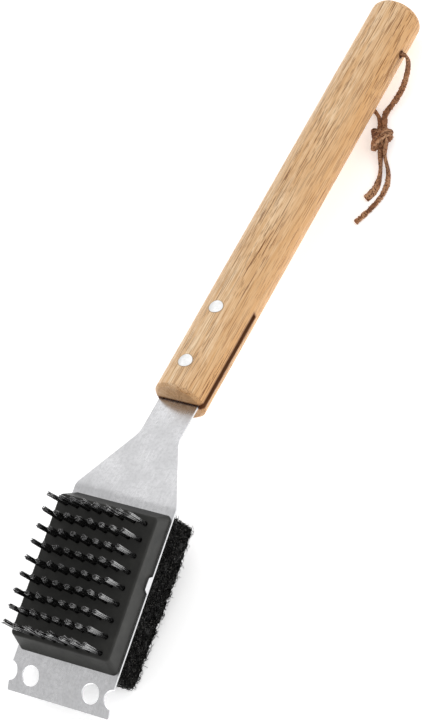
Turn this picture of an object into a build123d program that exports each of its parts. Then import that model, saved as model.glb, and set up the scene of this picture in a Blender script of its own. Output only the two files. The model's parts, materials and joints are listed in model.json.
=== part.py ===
from build123d import *
import math
import os

# Grill cleaning brush: wooden handle, bent steel blade with a scraper edge, nylon brush on one
# face of the head, scouring pad on the other, and a knotted leather lace at the handle's end.
# Millimetres. X is the width, Y runs from the scraper to the end of the handle, Z is up.
# The brush rests with its bristles up, on the pad's lower edge and on the end of the handle.

os.makedirs("parts", exist_ok=True)

# ---- driving dimensions -------------------------------------------------------------------
sheet = 1.2  # thickness of the steel blade

head_width = 63.2  # blade across the head
bend_angle = 18.5  # degrees between the head plate and the handle
bend_radius = 10.0  # of the sheet's mid-plane at that bend
block_from_bend = 4.6  # from the bend line to the block
block_length = 87.6
block_inset = 1.0  # head plate that shows along each side of the block
block_height = 13.3
block_end_bevel = 4.8  # how far each end of the block slopes in at the top
block_corner_radius = 2.5
block_edge_radius = 1.2

tuft_columns = 8
tuft_rows = 9
tuft_pitch_x = 7.05
tuft_pitch_y = 8.8
first_row_inset = 9.3  # from the block's handle end to the first row
tuft_hole_radius = 1.4
tuft_hole_depth = 9.0
tuft_length = 19.5  # free length above the block
tuft_flare = 1.6  # degrees that a tuft spreads
tuft_gap = 0.08  # between a tuft's root and its hole
anchor_width = 3.4
anchor_thickness = 0.45
anchor_height = 1.7
anchor_lift = 0.9  # nylon folded under the anchor

tab_length = 10.0
tab_top_length = 6.5
tab_height = 3.2
tab_from_bend = 42.3  # to the middle of the folded tabs
tab_gap = 0.05  # between a tab and the recess for it in the block's side
tab_corner = 1.2

pad_length = 91.0
pad_width = 62.4
pad_from_bend = 3.9
pad_thick = 24.6  # over the part nearer the handle
pad_thin = 20.6  # at the scraper end
pad_slope_start = 36.0  # from the bend line to where the pad starts to thin
pad_corner = 4.0  # rounding of the pad's lower edges
glue = 0.5  # thickness of the adhesive
glue_margin = 3.0  # from the pad's sides to the adhesive

scraper_hole_radius = 5.3
scraper_hole_half_spacing = 18.8
scraper_hole_from_block = 12.0
lip_bend_from_block = 10.5
lip_angle = 21.0  # degrees, towards the pad
lip_length = 12.0
lip_bend_radius = 4.0
notch_radius = 5.2
notch_centre_out = 0.8  # how far outside the head's edge the notch is centred
blank_corner = 0.8  # rounding of the blade's corners

neck_width = 24.3
flare_slope = 0.5  # sideways growth of each side of the neck per millimetre
flare_fillet = 16.0  # hollow corner at the top of the flare
shoulder_fillet = 8.0  # round corner at the bottom of the flare
tang_length = 60.0  # inside the handle
tang_corner = 4.0

handle_radius = 15.0
handle_from_bend = 62.4
handle_length = 285.0
handle_foot_chamfer = 1.8
handle_end_radius = 5.0
slot_depth = 63.8
slot_gap = 0.9  # between the slot and each face of the tang
rivet_from_foot = (17.6, 54.8)
rivet_head_radius = 4.0
rivet_head_depth = 2.6
rivet_shank_radius = 2.5
rivet_gap = 0.06  # round shank and head
rivet_proud = 0.1  # heads above the wood

lace_radius = 1.3
lace_hole_radius = 2.1
lace_hole_from_foot = 256.6
lace_lift = 0.05  # between the lace and the floor
knot_radius = 5.15
knot_neck_radius = 3.1  # of the knot's two flat ends
knot_length = 13.5
knot_x = 21.5
knot_from_hole = 51.2  # along Y, towards the scraper
knot_heading = -66.0  # degrees from +X, from the hole's side of the knot to its tails
strand_spread = 1.4  # from the knot's axis to each lace that enters or leaves it
strand_drop = 1.0  # of those laces below the knot's axis

# ---- the resting attitude -----------------------------------------------------------------
# Head coordinates (u, n) start at the bend line in the sheet's mid-plane: u runs towards the
# handle, n towards the bristles. The floor touches the round lower edge of the pad and the
# round lower edge of the handle's end.
bend = math.radians(bend_angle)
half_sheet = sheet / 2
head_half = head_width / 2
block_low = block_from_bend + block_length  # distances from the bend towards the scraper
pad_low = pad_from_bend + pad_length
pad_face = half_sheet + glue
handle_tip = handle_from_bend + handle_length


def along_handle(s, r):
    """Head coordinates of a point s along the handle's axis and r off it, towards the bristles."""
    u = s * math.cos(bend) + r * math.sin(bend)
    n = -s * math.sin(bend) + r * math.cos(bend)
    return u, n


pad_slope = math.atan2(pad_thick - pad_thin, pad_low - pad_slope_start)
pad_lift = pad_corner * (1 - math.sin(pad_slope)) / math.cos(pad_slope)
pad_foot = (-pad_low + pad_corner, -pad_face - pad_thin + pad_lift)
end_foot = along_handle(handle_tip - handle_end_radius, handle_end_radius - handle_radius)
end_head = along_handle(handle_tip - handle_end_radius, handle_radius - handle_end_radius)
reach_u = end_foot[0] - pad_foot[0]
reach_n = end_foot[1] - pad_foot[1]
reach = math.hypot(reach_u, reach_n)
floor_angle = math.atan2(reach_n, reach_u)
floor_angle -= math.asin((handle_end_radius - pad_corner) / reach)


def level(point):
    """Distance of a head point along the floor and above it, before the frame is centred."""
    u, n = point
    y = u * math.cos(floor_angle) + n * math.sin(floor_angle)
    z = -u * math.sin(floor_angle) + n * math.cos(floor_angle)
    return y, z


lip = math.radians(lip_angle)
lip_line = block_low + lip_bend_from_block
lip_tip = (-lip_line - lip_length * math.cos(lip), -lip_length * math.sin(lip))
lip_skin = (half_sheet * math.sin(lip), half_sheet * math.cos(lip))
lip_corners = [(lip_tip[0] + k * lip_skin[0], lip_tip[1] - k * lip_skin[1]) for k in (-1, 1)]
scraper_y = min(level(corner)[0] for corner in lip_corners)
far_y = max(level(end_foot)[0], level(end_head)[0]) + handle_end_radius
middle_y = (scraper_y + far_y) / 2
floor_z = level(pad_foot)[1] - pad_corner

bend_y = -middle_y
bend_z = -floor_z
bend_point = (0, bend_y, bend_z)
head = Plane(
    origin=bend_point,
    x_dir=(1, 0, 0),
    z_dir=(0, math.sin(floor_angle), math.cos(floor_angle)),
)
grip_angle = floor_angle + bend
grip = Plane(
    origin=bend_point,
    x_dir=(1, 0, 0),
    z_dir=(0, math.sin(grip_angle), math.cos(grip_angle)),
)
side = Plane(origin=bend_point, x_dir=head.y_dir, z_dir=(1, 0, 0))
grip_side = Plane(origin=bend_point, x_dir=grip.y_dir, z_dir=(1, 0, 0))

# ---- blade --------------------------------------------------------------------------------
tang_tip = handle_from_bend + tang_length
rivet_places = [(0, handle_from_bend + s) for s in rivet_from_foot]
flare_height = (head_half - neck_width / 2) / flare_slope
hole_line = -(block_low + scraper_hole_from_block)
spare = 5.0  # how far a cut runs past what it cuts
cut_reach = 2 * handle_radius

with BuildPart() as blade:
    with BuildSketch(side):
        with BuildLine() as blade_line:
            FilletPolyline(
                lip_tip,
                (-lip_line, 0),
                (0, 0),
                along_handle(tang_tip, 0),
                radius=[lip_bend_radius, bend_radius],
            )
        trace(blade_line.line, line_width=sheet)
    extrude(amount=head_half, both=True)
    with BuildSketch(grip):
        with BuildLine():
            outline = FilletPolyline(
                (neck_width / 2, tang_tip + spare),
                (neck_width / 2, flare_height),
                (head_half, 0),
                (head_half, -block_from_bend),
                radius=[flare_fillet, shoulder_fillet],
            )
            Polyline(
                outline @ 1,
                (head_half + spare, -block_from_bend),
                (head_half + spare, tang_tip + spare),
                outline @ 0,
            )
        make_face()
        mirror(about=Plane.YZ)
    extrude(amount=cut_reach, both=True, mode=Mode.SUBTRACT)
    for x_side in (1, -1):
        with BuildSketch(side.offset(x_side * head_half)):
            with BuildLine():
                FilletPolyline(
                    (-tab_from_bend - tab_length / 2, 0),
                    (-tab_from_bend - tab_top_length / 2, half_sheet + tab_height),
                    (-tab_from_bend + tab_top_length / 2, half_sheet + tab_height),
                    (-tab_from_bend + tab_length / 2, 0),
                    radius=tab_corner,
                )
                Line((-tab_from_bend + tab_length / 2, 0), (-tab_from_bend - tab_length / 2, 0))
            make_face()
        extrude(amount=-x_side * sheet)
    with BuildSketch(head):
        with Locations((scraper_hole_half_spacing, hole_line), (-scraper_hole_half_spacing, hole_line)):
            Circle(scraper_hole_radius)
        notch_x = head_half + notch_centre_out
        with Locations((notch_x, hole_line), (-notch_x, hole_line)):
            Circle(notch_radius)
    extrude(amount=spare, both=True, mode=Mode.SUBTRACT)
    with BuildSketch(grip):
        with Locations(*rivet_places):
            Circle(rivet_shank_radius + rivet_gap)
    extrude(amount=spare, both=True, mode=Mode.SUBTRACT)
    tip_edges = blade.faces().sort_by(Axis.Y)[0].edges()
    fillet(tip_edges.filter_by(lambda edge: edge.length < 2 * sheet), blank_corner)
    tang_edges = blade.faces().sort_by(Axis.Y)[-1].edges()
    fillet(tang_edges.filter_by(lambda edge: edge.length < 2 * sheet), tang_corner)
blade.part.label = "blade"
export_step(blade.part, "parts/blade.step")

# ---- handle and rivets --------------------------------------------------------------------
handle_foot_plane = Plane(
    origin=grip.origin + grip.y_dir * handle_from_bend,
    x_dir=(1, 0, 0),
    z_dir=grip.y_dir,
)
lace_hole_place = (handle_from_bend + lace_hole_from_foot, 0)

with BuildPart() as handle:
    with BuildSketch(handle_foot_plane):
        Circle(handle_radius)
    extrude(amount=handle_length)
    rims = handle.edges().filter_by(GeomType.CIRCLE).sort_by(Axis.Y)
    chamfer(rims[0], handle_foot_chamfer)
    fillet(rims[-1], handle_end_radius)
    with BuildSketch(grip):
        with Locations((0, handle_from_bend + (slot_depth - spare) / 2)):
            Rectangle(2 * handle_radius + spare, slot_depth + spare)
    extrude(amount=half_sheet + slot_gap, both=True, mode=Mode.SUBTRACT)
    with BuildSketch(grip):
        with Locations(*rivet_places):
            Circle(rivet_shank_radius + rivet_gap)
    extrude(amount=handle_radius + spare, both=True, mode=Mode.SUBTRACT)
    for face in (1, -1):
        with BuildSketch(grip.offset(face * (handle_radius - rivet_head_depth))):
            with Locations(*rivet_places):
                Circle(rivet_head_radius + rivet_gap)
        extrude(amount=face * (rivet_head_depth + spare), mode=Mode.SUBTRACT)
    with BuildSketch(grip_side):
        with Locations(lace_hole_place):
            Circle(lace_hole_radius)
    extrude(amount=handle_radius + spare, both=True, mode=Mode.SUBTRACT)
handle.part.label = "handle"
export_step(handle.part, "parts/handle.step")

for rivet_name, place in zip(("rivet_lower", "rivet_upper"), rivet_places):
    with BuildPart() as rivet:
        with BuildSketch(grip):
            with Locations(place):
                Circle(rivet_shank_radius)
        extrude(amount=handle_radius - rivet_head_depth, both=True)
        for face in (1, -1):
            with BuildSketch(grip.offset(face * (handle_radius - rivet_head_depth))):
                with Locations(place):
                    Circle(rivet_head_radius)
            extrude(amount=face * (rivet_head_depth + spare))
        with BuildSketch(handle_foot_plane):
            Circle(handle_radius + rivet_proud)
        extrude(amount=handle_length, mode=Mode.INTERSECT)
    rivet.part.label = rivet_name
    export_step(rivet.part, f"parts/{rivet_name}.step")

# ---- brush block, tufts and their anchors -------------------------------------------------
block_top = half_sheet + block_height
block_half = head_half - block_inset
first_row = -(block_from_bend + first_row_inset)
grid_middle = first_row - tuft_pitch_y * (tuft_rows - 1) / 2
hole_floor = block_top - tuft_hole_depth
anchor_floor = hole_floor + anchor_lift
root_radius = tuft_hole_radius - tuft_gap

with BuildPart() as brush_block:
    with BuildSketch(side):
        with BuildLine():
            Polyline(
                (-block_low, half_sheet),
                (-block_from_bend, half_sheet),
                (-block_from_bend - block_end_bevel, block_top),
                (-block_low + block_end_bevel, block_top),
                close=True,
            )
        make_face()
    extrude(amount=block_half, both=True)
    faces = brush_block.faces().sort_by(Axis.X)
    ends = ShapeList([faces[0], faces[-1]])
    slanted = ends.edges().filter_by(lambda edge: abs((edge % 0).dot(head.z_dir)) > 0.5)
    fillet(slanted, block_corner_radius)
    top_face = brush_block.faces().filter_by(head).sort_by(Axis.Z)[-1]
    fillet(top_face.edges(), block_edge_radius)
    with BuildSketch(head.offset(block_top)):
        with Locations((0, grid_middle)):
            with GridLocations(tuft_pitch_x, tuft_pitch_y, tuft_columns, tuft_rows):
                Circle(tuft_hole_radius)
    extrude(amount=-tuft_hole_depth, mode=Mode.SUBTRACT)
    with BuildSketch(head.offset(anchor_floor)):
        with Locations((0, grid_middle)):
            with GridLocations(tuft_pitch_x, tuft_pitch_y, tuft_columns, tuft_rows):
                Rectangle(anchor_width, anchor_thickness)
    extrude(amount=anchor_height, mode=Mode.SUBTRACT)
    for x_side in (1, -1):
        with BuildSketch(side.offset(x_side * (head_half - sheet - tab_gap))):
            with Locations((-tab_from_bend, half_sheet + (tab_height + tab_gap) / 2)):
                Rectangle(tab_length + 2 * tab_gap, tab_height + tab_gap)
        extrude(amount=x_side * spare, mode=Mode.SUBTRACT)
brush_block.part.label = "brush_block"
export_step(brush_block.part, "parts/brush_block.step")

for row in range(tuft_rows):
    row_y = first_row - tuft_pitch_y * row
    with BuildPart() as anchor_row:
        with BuildSketch(head.offset(anchor_floor)):
            with Locations((0, row_y)):
                with GridLocations(tuft_pitch_x, tuft_pitch_y, tuft_columns, 1):
                    Rectangle(anchor_width, anchor_thickness)
        extrude(amount=anchor_height)
    anchor_row.part.label = f"anchor_row_{row + 1}"
    export_step(anchor_row.part, f"parts/anchor_row_{row + 1}.step")

    with BuildPart() as bristle_row:
        with BuildSketch(head.offset(hole_floor)):
            with Locations((0, row_y)):
                with GridLocations(tuft_pitch_x, tuft_pitch_y, tuft_columns, 1):
                    Circle(root_radius)
        extrude(amount=tuft_hole_depth)
        with BuildSketch(head.offset(block_top)):
            with Locations((0, row_y)):
                with GridLocations(tuft_pitch_x, tuft_pitch_y, tuft_columns, 1):
                    Circle(root_radius)
        extrude(amount=tuft_length, taper=-tuft_flare)
        with BuildSketch(head.offset(anchor_floor)):
            with Locations((0, row_y)):
                with GridLocations(tuft_pitch_x, tuft_pitch_y, tuft_columns, 1):
                    Rectangle(anchor_width, anchor_thickness)
        extrude(amount=anchor_height, mode=Mode.SUBTRACT)
    bristle_row.part.label = f"bristle_row_{row + 1}"
    export_step(bristle_row.part, f"parts/bristle_row_{row + 1}.step")

# ---- scouring pad and its adhesive --------------------------------------------------------
pad_middle = -(pad_from_bend + pad_length / 2)

with BuildPart() as pad_adhesive:
    with BuildSketch(head.offset(-half_sheet)):
        with Locations((0, pad_middle)):
            Rectangle(pad_width - 2 * glue_margin, pad_length - 2 * glue_margin)
    extrude(amount=-glue)
pad_adhesive.part.label = "pad_adhesive"
export_step(pad_adhesive.part, "parts/pad_adhesive.step")

with BuildPart() as scouring_pad:
    with BuildSketch(side):
        with BuildLine():
            Polyline(
                (-pad_from_bend, -pad_face),
                (-pad_from_bend, -pad_face - pad_thick),
                (-pad_slope_start, -pad_face - pad_thick),
                (-pad_low, -pad_face - pad_thin),
                (-pad_low, -pad_face),
                close=True,
            )
        make_face()
    extrude(amount=pad_width / 2, both=True)
    foot_edge = scouring_pad.edges().filter_by(Axis.X).sort_by(Axis.Z)[0]
    fillet(foot_edge, pad_corner)
scouring_pad.part.label = "scouring_pad"
export_step(scouring_pad.part, "parts/scouring_pad.step")

# ---- leather lace -------------------------------------------------------------------------
# One lace through the hole in the handle. Its two strands lie on the floor beside the handle,
# meet in an overhand knot and end in two tails. Route points are X, Y from the hole and Z.
hole_from_bend = grip.y_dir * (handle_from_bend + lace_hole_from_foot)
hole_y = bend_y + hole_from_bend.Y
hole_z = bend_z + hole_from_bend.Z
floor_run = lace_radius + lace_lift
knot_along = Vector(math.cos(math.radians(knot_heading)), math.sin(math.radians(knot_heading)), 0)
knot_across = Vector(-knot_along.Y, knot_along.X, 0)
knot_centre = Vector(knot_x, -knot_from_hole, knot_radius + lace_lift)


def at_knot(end, strand, out=0.0):
    """Where a lace meets an end of the knot, or a point straight out from there."""
    along = knot_along * (end * (knot_length / 2 + out))
    return knot_centre + along + knot_across * (strand * strand_spread) - Vector(0, 0, strand_drop)


front_route = [
    (handle_radius, 0.0, hole_z),
    (handle_radius + 3.4, 0.0, hole_z),
    (20.8, -3.6, 15.0),
    (21.2, -9.6, 11.6),
    (20.2, -17.2, 7.4),
    (17.6, -25.6, 4.4),
    (15.4, -32.6, 3.4),
    at_knot(-1, 1, 6.0),
    at_knot(-1, 1),
]
rear_route = [
    (-handle_radius, 0.0, hole_z),
    (-handle_radius - 3.6, 0.0, hole_z),
    (-21.2, -4.2, 14.4),
    (-21.8, -11.0, 9.4),
    (-20.2, -18.4, 3.6),
    (-13.8, -25.2, floor_run),
    (-4.2, -28.8, floor_run),
    (5.4, -28.4, floor_run),
    (11.0, -32.6, 2.4),
    at_knot(-1, -1, 7.0),
    at_knot(-1, -1),
]
short_tail_route = [
    at_knot(1, -1),
    at_knot(1, -1, 5.4),
    (27.8, -69.8, 1.8),
    (29.6, -77.4, floor_run),
    (29.2, -84.2, floor_run),
    (26.8, -89.0, floor_run),
]
long_tail_route = [
    at_knot(1, 1),
    at_knot(1, 1, 5.4),
    (32.0, -68.0, 1.7),
    (35.2, -76.2, floor_run),
    (35.4, -85.2, floor_run),
    (32.2, -95.4, floor_run),
    (27.4, -105.2, floor_run),
]
lace_routes = {
    "lace_in_hole": [(-handle_radius, 0.0, hole_z), (handle_radius, 0.0, hole_z)],
    "lace_strand_front": front_route,
    "lace_strand_rear": rear_route,
    "lace_tail_short": short_tail_route,
    "lace_tail_long": long_tail_route,
}


def corner_radii(points):
    """For each corner, 0.45 of its shorter run over the tangent of half the turn."""
    runs = [end - start for start, end in zip(points, points[1:])]
    radii = []
    for before, after in zip(runs, runs[1:]):
        half_turn = math.radians(before.get_angle(after)) / 2
        radii.append(0.45 * min(before.length, after.length) / math.tan(half_turn))
    return radii


for lace_name, route in lace_routes.items():
    points = [Vector(*point) + Vector(0, hole_y, 0) for point in route]
    radii = corner_radii(points)
    with BuildPart() as lace:
        with BuildLine() as path:
            if radii:
                FilletPolyline(*points, radius=radii)
            else:
                Line(points)
        centre_line = path.wire()
        with BuildSketch(Plane(origin=centre_line @ 0, z_dir=centre_line % 0)):
            Circle(lace_radius)
        sweep(path=centre_line)
    lace.part.label = lace_name
    export_step(lace.part, f"parts/{lace_name}.step")
    tube_volume = math.pi * lace_radius**2 * centre_line.length
    print(lace_name, round(centre_line.length, 1), "long, volume over tube", lace.part.volume / tube_volume)
    print("  runs", [round((end - start).length, 1) for start, end in zip(points, points[1:])])
    print("  bend radii", [round(radius, 1) for radius in radii])

knot_end = knot_centre + Vector(0, hole_y, 0) - knot_along * (knot_length / 2)
knot_plane = Plane(origin=knot_end, x_dir=knot_along, z_dir=knot_across)
with BuildPart() as lace_knot:
    with BuildSketch(knot_plane):
        with BuildLine():
            Line((0, 0), (0, knot_neck_radius))
            ThreePointArc(
                (0, knot_neck_radius), (knot_length / 2, knot_radius), (knot_length, knot_neck_radius)
            )
            Line((knot_length, knot_neck_radius), (knot_length, 0))
            Line((knot_length, 0), (0, 0))
        make_face()
    revolve(axis=Axis(knot_end, knot_along))
lace_knot.part.label = "lace_knot"
export_step(lace_knot.part, "parts/lace_knot.step")
print("lace hole at", (0, hole_y, hole_z), "bend at", bend_point)
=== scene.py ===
# %% [markdown]
# # A grill cleaning brush, finished for the camera
# The brush has a turned wooden handle, a bent steel blade, a black block of nylon tufts on one face of
# the head, a black scouring pad on the other, and a leather lace to hang it by. Its rigid parts come as
# a fixed frame of exact solids. Here they get their surfaces, and the three things that a solid can't
# show are made afresh: the separate nylon filaments, the loose fibres of the pad and the knotted lace.

# %% Load the frame
import json
import math

import bpy
import numpy as np
from mathutils import Matrix, Vector, noise

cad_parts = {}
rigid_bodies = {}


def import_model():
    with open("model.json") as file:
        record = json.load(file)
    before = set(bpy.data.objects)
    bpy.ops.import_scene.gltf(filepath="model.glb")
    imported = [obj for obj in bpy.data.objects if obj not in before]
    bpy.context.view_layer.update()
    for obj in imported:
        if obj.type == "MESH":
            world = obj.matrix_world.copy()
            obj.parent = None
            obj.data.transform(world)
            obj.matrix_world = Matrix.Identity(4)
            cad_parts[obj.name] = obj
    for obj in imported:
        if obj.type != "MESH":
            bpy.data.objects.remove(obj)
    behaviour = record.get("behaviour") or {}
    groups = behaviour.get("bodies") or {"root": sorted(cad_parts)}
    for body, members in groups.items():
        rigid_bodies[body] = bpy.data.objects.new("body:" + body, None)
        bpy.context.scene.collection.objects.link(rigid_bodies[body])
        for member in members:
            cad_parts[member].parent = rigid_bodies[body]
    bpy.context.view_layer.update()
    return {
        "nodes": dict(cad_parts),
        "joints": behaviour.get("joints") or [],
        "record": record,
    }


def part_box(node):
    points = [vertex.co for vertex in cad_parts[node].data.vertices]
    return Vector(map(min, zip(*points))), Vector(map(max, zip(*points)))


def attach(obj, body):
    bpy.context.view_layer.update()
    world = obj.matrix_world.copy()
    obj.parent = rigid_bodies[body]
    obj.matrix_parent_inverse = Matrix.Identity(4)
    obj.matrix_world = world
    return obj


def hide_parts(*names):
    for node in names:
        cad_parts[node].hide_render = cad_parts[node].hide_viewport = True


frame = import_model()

MM = 0.001

# %% [markdown]
# ## Where the parts lie
# The brush rests tilted, so three directions are worth a name: along the handle, square to the head's
# plate, and along the head. They come from the frame: the two rivets both pass through the handle's
# axis, and the round holes of the scraper are drilled square to the plate.

# %% Directions of the handle and the head
def middle(node):
    """The centre of a frame node's box."""
    low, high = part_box(node)
    return (low + high) / 2


record = frame["record"]
mounts = {mount["name"]: mount for mount in record["mounts"]}
ACROSS = Vector((1, 0, 0))
GRIP_ALONG = (middle("rivet_upper") - middle("rivet_lower")).normalized()
HEAD_UP = Vector(mounts["scraper_hole_right"]["axis"]).normalized()
HEAD_ALONG = HEAD_UP.cross(ACROSS).normalized()
HOLE = Vector(frame["joints"][0]["pos_m"])
HANDLE_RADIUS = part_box("handle")[1].x
HOLE_FROM_FOOT = 256.6 * MM
FOOT = HOLE - GRIP_ALONG * HOLE_FROM_FOOT
grip_slope = math.asin(-GRIP_ALONG.z)
print("handle slopes down by", round(math.degrees(grip_slope), 2), "degrees, foot at", FOOT)

# %% [markdown]
# ## Camera
# A long lens from about 1.6 metres keeps the head and the handle's end at nearly one scale. The
# camera looks down past the scraper, from the right of the brush, and is rolled so that the handle rises
# to the top right of the upright picture.

# %% Camera
AIM = Vector((-13.9, -11.5, 6.2)) * MM
CAMERA_AZIMUTH = 51.85
CAMERA_ELEVATION = 51.07
CAMERA_ROLL = -31.95
CAMERA_DISTANCE = 1.648
LENS = 150

azimuth = math.radians(CAMERA_AZIMUTH)
elevation = math.radians(CAMERA_ELEVATION)
towards_camera = Vector(
    (
        math.sin(azimuth) * math.cos(elevation),
        -math.cos(azimuth) * math.cos(elevation),
        math.sin(elevation),
    )
)
camera_data = bpy.data.cameras.new("camera")
camera_data.lens = LENS
camera_data.clip_end = 20
camera = bpy.data.objects.new("camera", camera_data)
bpy.context.scene.collection.objects.link(camera)
look = (-towards_camera).to_track_quat("-Z", "Y").to_matrix()
turn = Matrix.Rotation(math.radians(CAMERA_ROLL), 3, towards_camera)
camera.matrix_world = Matrix.Translation(AIM + towards_camera * CAMERA_DISTANCE) @ (turn @ look).to_4x4()
bpy.context.scene.camera = camera
print("camera at", camera.matrix_world.translation)

# %% [markdown]
# ## Light and floor
# Satin steel shows what it faces, so the light is two large soft boxes and an even white sky, and no
# small lamps. The wide box overhead, towards the handle, makes the neck bright and leaves the scraper a
# shade darker, and the one on the right lights the sides of the tufts. A pale floor closes the scene
# from below. It reaches far enough to fill a low view up to its top.

# %% Light and floor
def soft_box(name, place, size, power):
    """A square area light at a place, facing the middle of the brush."""
    data = bpy.data.lights.new(name, "AREA")
    data.shape = "SQUARE"
    data.size = size
    data.energy = power
    box = bpy.data.objects.new(name, data)
    box.location = place
    box.rotation_euler = (-Vector(place)).to_track_quat("-Z", "Y").to_euler()
    bpy.context.scene.collection.objects.link(box)


soft_box("overhead_box", (-0.9, 1.5, 2.2), 2.3, 6)
soft_box("side_box", (1.9, -0.2, 1.6), 1.4, 10)

SKY_STRENGTH = 0.8
world = bpy.data.worlds.new("studio")
bpy.context.scene.world = world
world.use_nodes = True
world.node_tree.nodes["Background"].inputs["Color"].default_value = (1, 1, 1, 1)
world.node_tree.nodes["Background"].inputs["Strength"].default_value = SKY_STRENGTH

FLOOR_HALF = 12.0
floor_mesh = bpy.data.meshes.new("floor")
corners = [(-FLOOR_HALF, -FLOOR_HALF, 0), (FLOOR_HALF, -FLOOR_HALF, 0)]
corners += [(FLOOR_HALF, FLOOR_HALF, 0), (-FLOOR_HALF, FLOOR_HALF, 0)]
floor_mesh.from_pydata(corners, [], [(0, 1, 2, 3)])
floor = bpy.data.objects.new("floor", floor_mesh)
bpy.context.scene.collection.objects.link(floor)
bpy.context.scene.view_settings.view_transform = "Standard"

# %% [markdown]
# ## A few tools for shader trees
# Every finish below is a tree of nodes. `Bench` adds a node and wires its inputs in one line, so a
# recipe reads from top to bottom, in the order in which its values are made.

# %% The bench
def colour(red, green, blue):
    """A colour given as screen values from 0 to 255, in the linear form that shaders use."""
    linear = []
    for value in (red, green, blue):
        share = value / 255
        linear.append(share / 12.92 if value <= 10 else ((share + 0.055) / 1.055) ** 2.4)
    return (*linear, 1.0)


def dimmed(shade, share):
    """A colour at a share of its brightness."""
    return [share * c for c in shade[:3]] + [1.0]


class Bench:
    """A node tree with short ways to add and wire nodes."""

    def __init__(self, tree):
        self.tree = tree

    def add(self, kind, inputs=None, **settings):
        """A new node. inputs are values, or the sockets that feed them."""
        node = self.tree.nodes.new("ShaderNode" + kind)
        for name, value in settings.items():
            setattr(node, name, value)
        for name, value in (inputs or {}).items():
            if isinstance(value, bpy.types.NodeSocket):
                self.tree.links.new(value, node.inputs[name])
            else:
                node.inputs[name].default_value = value
        return node

    def math(self, operation, a, b=0.0, clamp=False):
        """The result of a Math node."""
        return self.add("Math", {0: a, 1: b}, operation=operation, use_clamp=clamp).outputs[0]

    def ramp(self, value, stops):
        """A colour ramp. stops are (position, colour)."""
        node = self.add("ValToRGB", {"Fac": value})
        elements = node.color_ramp.elements
        while len(elements) < len(stops):
            elements.new(0.5)
        for element, (position, shade) in zip(elements, stops):
            element.position = position
            element.color = shade
        return node.outputs["Color"]

    def span(self, value, low, high, to_low=0.0, to_high=1.0):
        """The value, taken from one range to another and kept inside it."""
        inputs = {"Value": value, "From Min": low, "From Max": high, "To Min": to_low, "To Max": to_high}
        return self.add("MapRange", inputs).outputs["Result"]

    def mix(self, factor, a, b):
        """A colour between two."""
        node = self.add("Mix", data_type="RGBA")
        for socket, value in zip((node.inputs[0], node.inputs[6], node.inputs[7]), (factor, a, b)):
            if isinstance(value, bpy.types.NodeSocket):
                self.tree.links.new(value, socket)
            else:
                socket.default_value = value
        return node.outputs[2]

    def stretch(self, vector, sizes):
        """The position divided by a size for each axis."""
        return self.add("VectorMath", {0: vector, 1: sizes}, operation="DIVIDE").outputs[0]

    def wire(self, value, socket):
        """Feeds a socket."""
        self.tree.links.new(value, socket)

    def give(self, name, value):
        """Feeds an output of the group."""
        if "Group Output" not in self.tree.nodes:
            self.tree.nodes.new("NodeGroupOutput")
        self.tree.links.new(value, self.tree.nodes["Group Output"].inputs[name])


def new_finish(name, **plain):
    """A material with one Principled BSDF, whose even values are set on its own sockets."""
    material = bpy.data.materials.new(name)
    material.use_nodes = True
    shader = material.node_tree.nodes["Principled BSDF"]
    for socket, value in plain.items():
        shader.inputs[socket.replace("_", " ")].default_value = value
    return material, Bench(material.node_tree), shader


def new_group(name, inputs, outputs):
    """A shader node group. inputs are (name, kind, default) and outputs are (name, kind)."""
    tree = bpy.data.node_groups.new(name, "ShaderNodeTree")
    for label, kind, default in inputs:
        socket = tree.interface.new_socket(name=label, in_out="INPUT", socket_type="NodeSocket" + kind)
        if default is not None:
            socket.default_value = default
    for label, kind in outputs:
        tree.interface.new_socket(name=label, in_out="OUTPUT", socket_type="NodeSocket" + kind)
    return tree, Bench(tree), tree.nodes.new("NodeGroupInput")


print("colour test, middle grey:", round(colour(119, 119, 119)[0], 3))

# %% [markdown]
# ## Effects that several finishes share
# No made surface is even. Three effects come back in nearly every material here, so each is a node
# group with named inputs, placed again and again with its own sizes: a slow drift of tone, fine lines
# drawn out in one direction, and a small pebbled grain. They only put out values, which each material
# uses for colour, roughness or bump as it needs.

# %% Shared groups
def build_tone_drift():
    """A slow, cloudy value from 0 to 1. Size is the clouds' width in millimetres."""
    tree, bench, given = new_group(
        "tone_drift",
        [("Position", "Vector", None), ("Size", "Float", 10.0), ("Contrast", "Float", 1.0)],
        [("Drift", "Float")],
    )
    scale = bench.math("DIVIDE", 1000.0, given.outputs["Size"])
    cloud = bench.add(
        "TexNoise", {"Vector": given.outputs["Position"], "Scale": scale, "Detail": 3.0, "Roughness": 0.55}
    )
    centred = bench.math("SUBTRACT", cloud.outputs["Fac"], 0.5)
    wide = bench.math("MULTIPLY", centred, given.outputs["Contrast"])
    bench.give("Drift", bench.math("ADD", wide, 0.5, clamp=True))
    return tree


def build_drawn_lines():
    """Fine lines, long in one direction. Reach says how far the pattern runs per axis, in millimetres."""
    tree, bench, given = new_group(
        "drawn_lines",
        [("Position", "Vector", None), ("Reach", "Vector", (1.0, 40.0, 1.0)), ("Detail", "Float", 3.0)],
        [("Lines", "Float")],
    )
    reach = bench.add("VectorMath", {0: given.outputs["Reach"], 1: (MM, MM, MM)}, operation="MULTIPLY")
    place = bench.add(
        "VectorMath", {0: given.outputs["Position"], 1: reach.outputs[0]}, operation="DIVIDE"
    )
    streak = bench.add(
        "TexNoise",
        {"Vector": place.outputs[0], "Scale": 1.0, "Detail": given.outputs["Detail"], "Roughness": 0.6},
    )
    bench.give("Lines", streak.outputs["Fac"])
    return tree


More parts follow.
